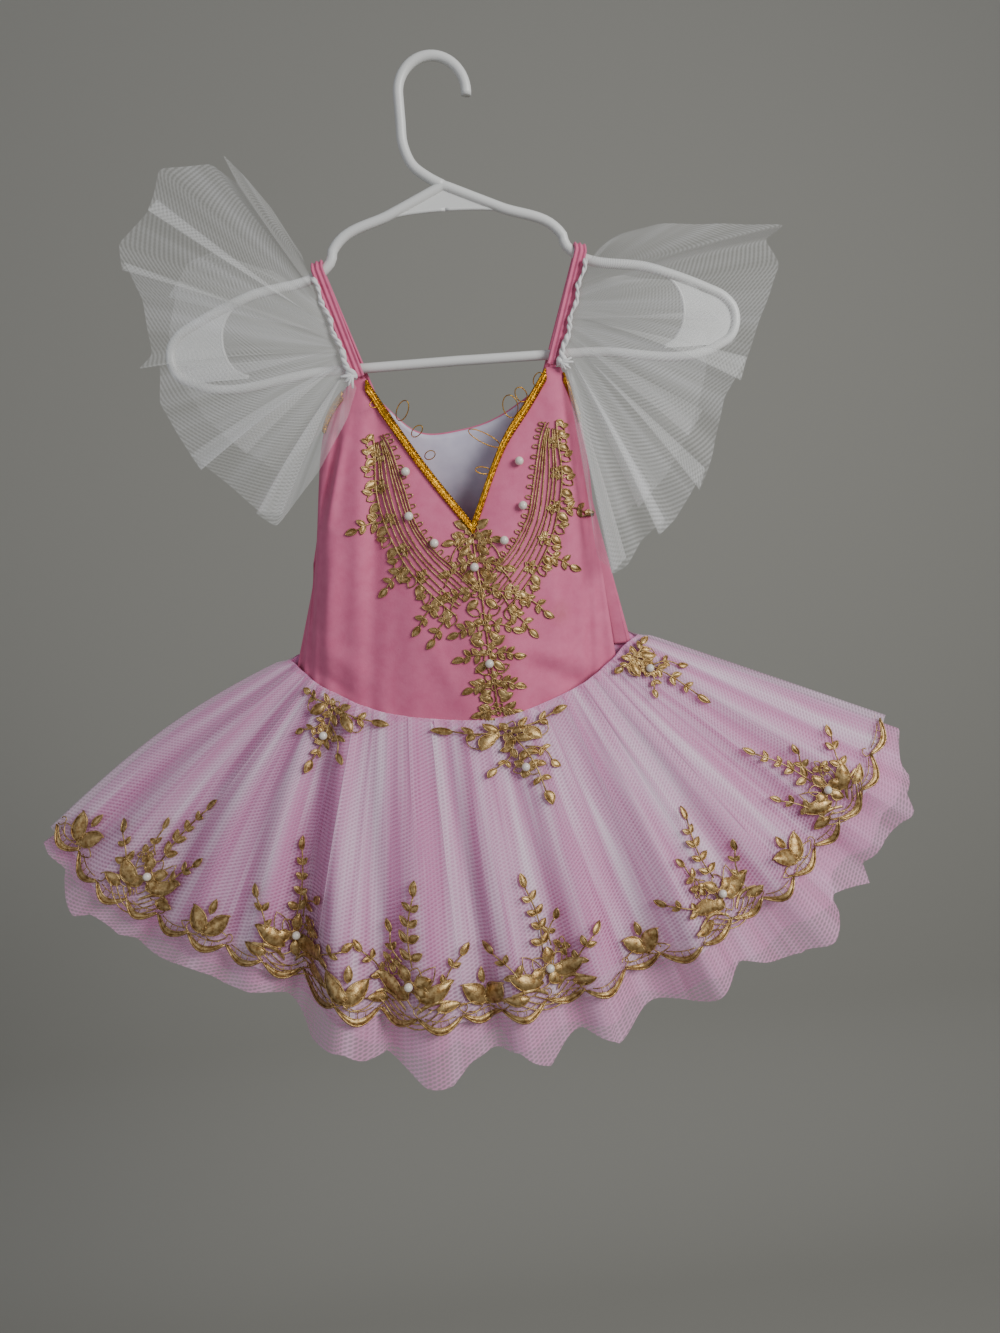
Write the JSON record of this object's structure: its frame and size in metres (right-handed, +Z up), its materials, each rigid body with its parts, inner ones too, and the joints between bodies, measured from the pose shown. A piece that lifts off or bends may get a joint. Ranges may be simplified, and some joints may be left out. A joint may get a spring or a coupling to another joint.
{
  "type": "ballet dress on a clothes hanger",
  "caption": "Child's pink ballet dress with a V-neck knit bodice, gold lace, white tulle flutter sleeves and a flared tulle skirt with a gold lace hem, hung on a white tubular hanger.",
  "frame": {"origin": "inside of the top of the hanger's hook, where a rail or nail carries it", "axes": "+Z up, -Y out of the dress's front, +X towards the picture's right side (the wearer's left)"},
  "size_m": [0.6931, 0.1383, 0.7251],
  "materials": {
    "white_plastic": "satin",
    "pink_knit": "matte stretch knit",
    "lining": "matte woven",
    "gold_braid": "metallic plaited braid",
    "gold_lace": "antique metallic thread lace",
    "white_tulle": "sheer net",
    "pink_tulle": "sheer net in several layers"
  },
  "bodies": {
    "root": {"hanger": "white_plastic", "bodice_front": "pink_knit", "bodice_back": "pink_knit", "back_lining": "lining", "strap_left": "pink_knit", "strap_right": "pink_knit", "neck_braid": "gold_braid", "armhole_braid_left": "gold_braid", "armhole_braid_right": "gold_braid", "bodice_lace": "gold_lace", "sleeve_left": "white_tulle", "sleeve_right": "white_tulle", "sleeve_binding_left": "white_tulle", "sleeve_binding_right": "white_tulle", "skirt_top": "pink_tulle", "skirt_under": "pink_tulle", "hem_lace_front": "gold_lace", "hem_lace_back": "gold_lace", "waist_lace_left": "gold_lace", "waist_lace_centre": "gold_lace", "waist_lace_right": "gold_lace"}
  },
  "joints": []
}
